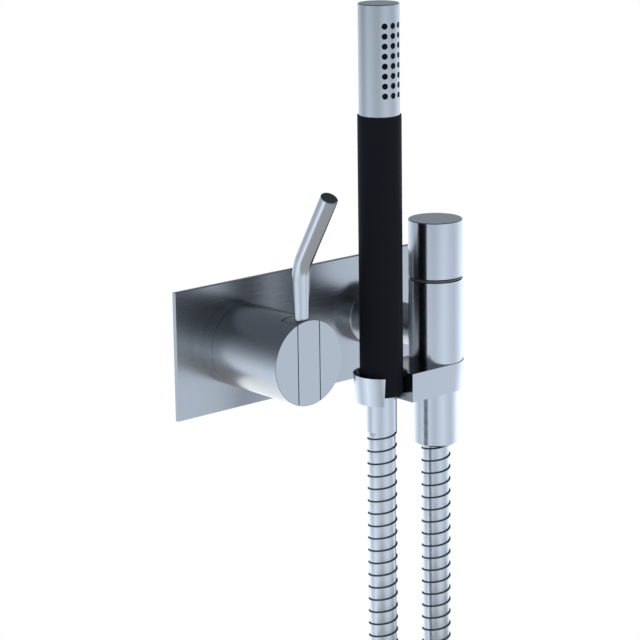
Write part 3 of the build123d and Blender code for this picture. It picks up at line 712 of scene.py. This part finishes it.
# %% Finishes of the inner pieces
turned_stroke = 200
bright_grain = 400
cast_brass = grained("cast_brass", (0.50, 0.36, 0.15), (0.66, 0.50, 0.24),
                     grain=900, roughness=(0.34, 0.50), height=0.06 * MM, metallic=1.0)
turned_brass = brushed_metal("turned_brass", (0.70, 0.53, 0.26), (turned_stroke, turned_stroke, fine),
                             roughness=0.25, depth=brush_depth)
moulded_white = grained("moulded_white", (0.70, 0.70, 0.68), (0.78, 0.78, 0.76),
                        grain=500, roughness=(0.38, 0.46), height=0.010 * MM)
white_ceramic = grained("white_ceramic", (0.80, 0.80, 0.78), (0.86, 0.86, 0.85),
                        grain=800, roughness=(0.08, 0.14), height=0.002 * MM)
bright_steel = brushed_metal("bright_steel", (0.52, 0.54, 0.57), (bright_grain, bright_grain, bright_grain),
                             roughness=0.14, depth=brush_depth)
print("materials", len(bpy.data.materials))

# %% [markdown]
# ## Which piece has which finish
# The record gives every node a material slot, so one finish for each slot
# dresses the whole object, the hidden pieces too. A few nodes in a slot are
# made another way: the plate is sheet steel, and some brass pieces are turned
# and not cast. They are named one by one.

# %% Finishes on the nodes
slot_finishes = {
    "brushed_steel": steel_upright, "brass": cast_brass, "rubber": seal_rubber,
    "white_plastic": moulded_white, "ceramic": white_ceramic, "dark_ring": painted_groove_shade,
    "spring_steel": bright_steel, "black_rubber": black_rubber, "black_grip": black_coating,
    "hose_metal": steel_strip, "tie_band": woven_strap,
}
node_finishes = {
    "wall_plate": steel_sheet, "headwork_body": turned_brass, "headwork_spindle": turned_brass,
    "cartridge_nut": turned_brass, "hose_insert": turned_brass, "grip_adapter": turned_brass,
}
for name, node in frame["nodes"].items():
    finish = node_finishes.get(name, slot_finishes[slot_of_node(name)])
    for slot in node.material_slots:
        slot.material = finish
hose.data.materials.append(steel_strip)
# The rib takes the dark material: partly a seal, partly painted shade.
hose.data.materials.append(rib_seal_and_painted_shade)
tie.data.materials.append(woven_strap)
print("slots", len(slot_finishes), "and nodes with their own finish", len(node_finishes))

# %% [markdown]
# ## Pieces with true curves
# The handle with its slot, the outlet with its arm, the holder and the spray
# head have holes and slots in them, so they are smooth copies of the CAD
# nodes. Each gets the axes of the cylinders that it is cut from. The holder's
# two ends slant in towards its foot, so their axes do as well.

# %% Smooth copies
holder_low, holder_high = (Vector(corner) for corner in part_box("holder_bracket"))
holder_rise = holder_high.z - holder_low.z
end_slant = 1.4 * MM


def holder_end(axis, inward):
    """Axis of one end of the holder, which slants in towards its foot."""
    slanted = Vector((-inward * end_slant, 0, holder_rise)).normalized()
    return Vector((axis[0].x, axis[0].y, holder_high.z)), slanted, ALONG_Z


tilt_joint = next(joint for joint in frame["record"]["behaviour"]["joints"]
                  if joint["name"] == "lever_tilt")
tilt_axis = straight_axis(Vector(tilt_joint["pos_m"]), ALONG_X)
# The handle and the rocker get painted shade on their broken front edges.
for name in ("handle_body", "rocker"):
    smooth_copy(name, [mixer_axis, tilt_axis], steel_outward, painted_edge_shade)
for name in ("mixer_collar", "outlet_collar"):
    smooth_copy(name, [mixer_axis, arm_axis], steel_outward)
smooth_copy("outlet_arm", [arm_axis, outlet_axis], steel_outward)
for name in ("outlet_body", "knob", "hose_nut", "handset_ferrule"):
    smooth_copy(name, [outlet_axis, stick_axis, arm_axis], steel_upright)
smooth_copy("holder_bracket", [outlet_axis, stick_axis, holder_end(outlet_axis, -1),
                               holder_end(stick_axis, 1)], steel_upright)
smooth_copy("spray_head", [stick_axis], steel_head)
smooth_copy("grip", [stick_axis], black_coating)
smooth_copy("nozzle_insert", [stick_axis], black_rubber)
# The groove ring's dark grey is painted shade of its recess.
smooth_copy("groove_ring", [outlet_axis], painted_groove_shade)
smooth_copy("lever_rod", [], steel_lever)

# %% [markdown]
# ## The studio's white
# The background is plain white, and steel shows what stands round it. A world
# that is white for every ray would also light the dull materials from all
# sides and flatten them. So a light path node splits it: it is white to the
# camera, to reflections and through clear things, of which this object has
# none, and a softer, weaker light to everything else.

# %% World
unseen_strength = 0.72
unseen_tone = (0.95, 0.97, 1.0, 1)

world = bpy.data.worlds.new("studio")
bpy.context.scene.world = world
world.use_nodes = True
tree = world.node_tree
tree.nodes.clear()
path = tree.nodes.new("ShaderNodeLightPath")
seen = tree.nodes.new("ShaderNodeMath")
seen.operation = "MAXIMUM"
seen_through = tree.nodes.new("ShaderNodeMath")
seen_through.operation = "MAXIMUM"
white = tree.nodes.new("ShaderNodeBackground")
white.inputs["Color"].default_value = (1, 1, 1, 1)
white.inputs["Strength"].default_value = 1.0
soft = tree.nodes.new("ShaderNodeBackground")
soft.inputs["Color"].default_value = unseen_tone
soft.inputs["Strength"].default_value = unseen_strength
either = tree.nodes.new("ShaderNodeMixShader")
output = tree.nodes.new("ShaderNodeOutputWorld")
tree.links.new(path.outputs["Is Camera Ray"], seen.inputs[0])
tree.links.new(path.outputs["Is Glossy Ray"], seen.inputs[1])
tree.links.new(seen.outputs["Value"], seen_through.inputs[0])
tree.links.new(path.outputs["Is Transmission Ray"], seen_through.inputs[1])
tree.links.new(seen_through.outputs["Value"], either.inputs["Fac"])
tree.links.new(soft.outputs["Background"], either.inputs[1])
tree.links.new(white.outputs["Background"], either.inputs[2])
tree.links.new(either.outputs["Shader"], output.inputs["Surface"])
print("world of", len(tree.nodes), "nodes, strength", unseen_strength, "for unseen light")

# %% [markdown]
# ## The tent
# Metalware is photographed in a tent of white cloth, which its surfaces mirror
# from all sides. Here it is a large sphere that only reflections see: it
# doesn't light the dull materials, throws no shadow and is hidden from the
# camera. It gets the brightness of the cloth in the next steps.

# %% Tent
tent_radius = 2.6
tent_columns = 48
tent_rows = 32

shape = bmesh.new()
bmesh.ops.create_uvsphere(shape, u_segments=tent_columns, v_segments=tent_rows, radius=tent_radius)
for face in shape.faces:
    face.smooth = True
tent_mesh = bpy.data.meshes.new("tent")
shape.to_mesh(tent_mesh)
shape.free()
tent = bpy.data.objects.new("tent", tent_mesh)
bpy.context.collection.objects.link(tent)
tent.visible_camera = False
tent.visible_diffuse = False
tent.visible_shadow = False
print("tent", 2 * tent_radius, "m across")

# %% [markdown]
# ## The brightness of the cloth
# The cloth is dark above, and bright from the horizon down, with a few broad
# soft differences from side to side. The faces that look up mirror its roof
# and turn dark, and the round upright ones get their gentle bands from its
# sides. Two ramps draw it, one over the height and one round the object, and
# their product is the glow, because that is easier to tune than many lamps.
# The whole cloth leans a little and turns cooler towards its roof, because the
# reflections in the photograph do. The heights are in degrees above the
# horizon, the bearings in degrees from straight out of the wall.

# %% Stops of the cloth's two ramps
tent_strength = 1.41
less_red = 0.9
more_blue = 1.2
quarter_turn = 0.25


def by_height(degrees, level, coolness):
    """A stop at a height above the horizon, placed by the sine of that height."""
    place = (math.sin(math.radians(degrees)) + 1) / 2
    return place, (level * (1 - less_red * coolness), level, level * (1 + more_blue * coolness))


def by_bearing(degrees, level):
    """A grey stop at a bearing, counted from straight out of the wall towards +X."""
    level *= tent_strength
    return (degrees / 360 + quarter_turn) % 1, (level, level, level)


height_levels = [
    (-90, 0.45, 0.00), (-63, 0.56, 0.00), (-56, 0.70, 0.00), (-43, 0.86, 0.02), (-33, 0.98, 0.04),
    (-27, 1.07, 0.13), (-18.5, 1.06, 0.13), (-15.5, 1.02, 0.13), (-12.5, 0.91, 0.13),
    (-8.5, 0.82, 0.13), (-5.5, 0.74, 0.13), (-2.5, 0.66, 0.13), (2, 0.52, 0.13), (4.5, 0.43, 0.13),
    (9.5, 0.375, 0.13), (12.5, 0.29, 0.13), (17, 0.22, 0.13), (20, 0.20, 0.13), (24, 0.165, 0.13),
    (30, 0.135, 0.16), (43, 0.125, 0.18), (55, 0.065, 0.18), (90, 0.05, 0.16),
]
bearing_levels = [
    (-90, 1.16), (-83, 1.12), (-66, 0.95), (-55, 0.87), (-48, 0.85), (-37, 0.87), (-20, 1.00),
    (-4, 1.07), (10, 0.97), (20, 0.90), (34, 0.84), (45, 0.84), (57, 0.95), (75, 1.18),
    (90, 1.34), (115, 1.10), (139, 1.00), (180, 1.30), (200, 1.10), (220, 0.86), (240, 1.08),
    (255, 1.32), (269, 1.16),
]
roof_stops = [by_height(*entry) for entry in height_levels]
side_stops = [by_bearing(*entry) for entry in bearing_levels]
print("stops", len(roof_stops), "by height and", len(side_stops), "by bearing")

# %% [markdown]
# ## The cloth as a material
# The height above the leaning rim is a dot product of the place on the tent
# with the tent's own axis. The bearing comes from a radial gradient. Both run
# through their ramps, and their product glows as an emission, which makes the
# cloth bright without a lamp outside it.

# %% Cloth of the tent
low_side = math.radians(-140)
tent_lean = math.radians(4.5)
tent_axis = (math.sin(low_side) * math.sin(tent_lean), -math.cos(low_side) * math.sin(tent_lean),
             math.cos(tent_lean))


def filled_ramp(nodes, stops):
    """A colour ramp with the given positions and colours, in rising order."""
    ramp = nodes.new("ShaderNodeValToRGB")
    ends = (stops[0], stops[-1])
    for number, (position, colour) in enumerate(ends):
        ramp.color_ramp.elements[number].position = position
        ramp.color_ramp.elements[number].color = (*colour, 1)
    for position, colour in stops[1:-1]:
        ramp.color_ramp.elements.new(position).color = (*colour, 1)
    return ramp


cloth, nodes, links = new_material("tent_cloth")
nodes.remove(nodes["Principled BSDF"])
place = nodes.new("ShaderNodeTexCoord")
rise = nodes.new("ShaderNodeVectorMath")
rise.operation = "DOT_PRODUCT"
rise.inputs[1].default_value = tent_axis
height = nodes.new("ShaderNodeMapRange")
height.inputs["From Min"].default_value = -tent_radius
height.inputs["From Max"].default_value = tent_radius
fade = filled_ramp(nodes, roof_stops)
bearing = nodes.new("ShaderNodeTexGradient")
bearing.gradient_type = "RADIAL"
sides = filled_ramp(nodes, side_stops)
both = nodes.new("ShaderNodeMix")
both.data_type = "RGBA"
both.blend_type = "MULTIPLY"
both.inputs["Factor"].default_value = 1.0
glow = nodes.new("ShaderNodeEmission")
links.new(place.outputs["Object"], rise.inputs[0])
links.new(place.outputs["Object"], bearing.inputs["Vector"])
links.new(rise.outputs["Value"], height.inputs["Value"])
links.new(height.outputs["Result"], fade.inputs["Fac"])
links.new(bearing.outputs["Fac"], sides.inputs["Fac"])
links.new(fade.outputs["Color"], both.inputs["A"])
links.new(sides.outputs["Color"], both.inputs["B"])
links.new(both.outputs["Result"], glow.inputs["Color"])
links.new(glow.outputs["Emission"], nodes["Material Output"].inputs["Surface"])
tent_mesh.materials.append(cloth)
print("the tent leans", round(math.degrees(tent_lean), 1), "degrees")

# %% [markdown]
# ## The floor
# The object hangs on a wall, and its photograph shows no ground. A small pale
# sheet below it still throws some light up on its undersides, as the floor of
# a shower does. It lies under the hose's coil, out of the picture. Floor and
# tent are stage pieces, not part of the object.

# %% Floor
floor_drop = 0.06
floor_half_size = (0.8, 0.43, 1)
floor_centre_y = -0.37
floor_tone = (0.86, 0.87, 0.88, 1)
floor_roughness = 0.9

floor_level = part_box("hose_coil")[0][2] - floor_drop
shape = bmesh.new()
bmesh.ops.create_grid(shape, x_segments=1, y_segments=1, size=1)
bmesh.ops.scale(shape, vec=floor_half_size, verts=shape.verts)
bmesh.ops.translate(shape, vec=(0, floor_centre_y, floor_level), verts=shape.verts)
floor_mesh = bpy.data.meshes.new("floor")
shape.to_mesh(floor_mesh)
shape.free()
floor = bpy.data.objects.new("floor", floor_mesh)
bpy.context.collection.objects.link(floor)
pale, nodes, links = new_material("pale_floor")
nodes["Principled BSDF"].inputs["Base Color"].default_value = floor_tone
nodes["Principled BSDF"].inputs["Roughness"].default_value = floor_roughness
floor_mesh.materials.append(pale)
print("floor at height", round(floor_level, 3))

# %% [markdown]
# ## The lamp
# The dull materials don't mirror the tent, so they need a light of their own.
# One large lamp above and in front gives the black grip, the nozzles and the
# strap a soft side. No reflection shows it, because the tent makes those.

# %% Lamp
lamp_place = Vector((-0.4, -0.9, 1.4))
lamp_aim = Vector((0, -0.05, 0))
lamp_size = 1.6
lamp_power = 6

overhead = bpy.data.lights.new("overhead", "AREA")
overhead.shape = "SQUARE"
overhead.size = lamp_size
overhead.energy = lamp_power
lamp = bpy.data.objects.new("overhead", overhead)
bpy.context.collection.objects.link(lamp)
lamp.location = lamp_place
lamp.rotation_mode = "QUATERNION"
lamp.rotation_quaternion = (lamp_aim - lamp_place).to_track_quat("-Z", "Y")
lamp.visible_camera = False
lamp.visible_glossy = False
print("lamp of", lamp_power, "W,", round((lamp_aim - lamp_place).length, 2), "m away")

# %% [markdown]
# ## How the picture is shown
# The Standard view shows a colour as it is. The default one bends the tones
# like film, which would turn the white background grey and soften the black
# of the grip.

# %% View settings
bpy.context.scene.view_settings.view_transform = "Standard"
print("view transform", bpy.context.scene.view_settings.view_transform)
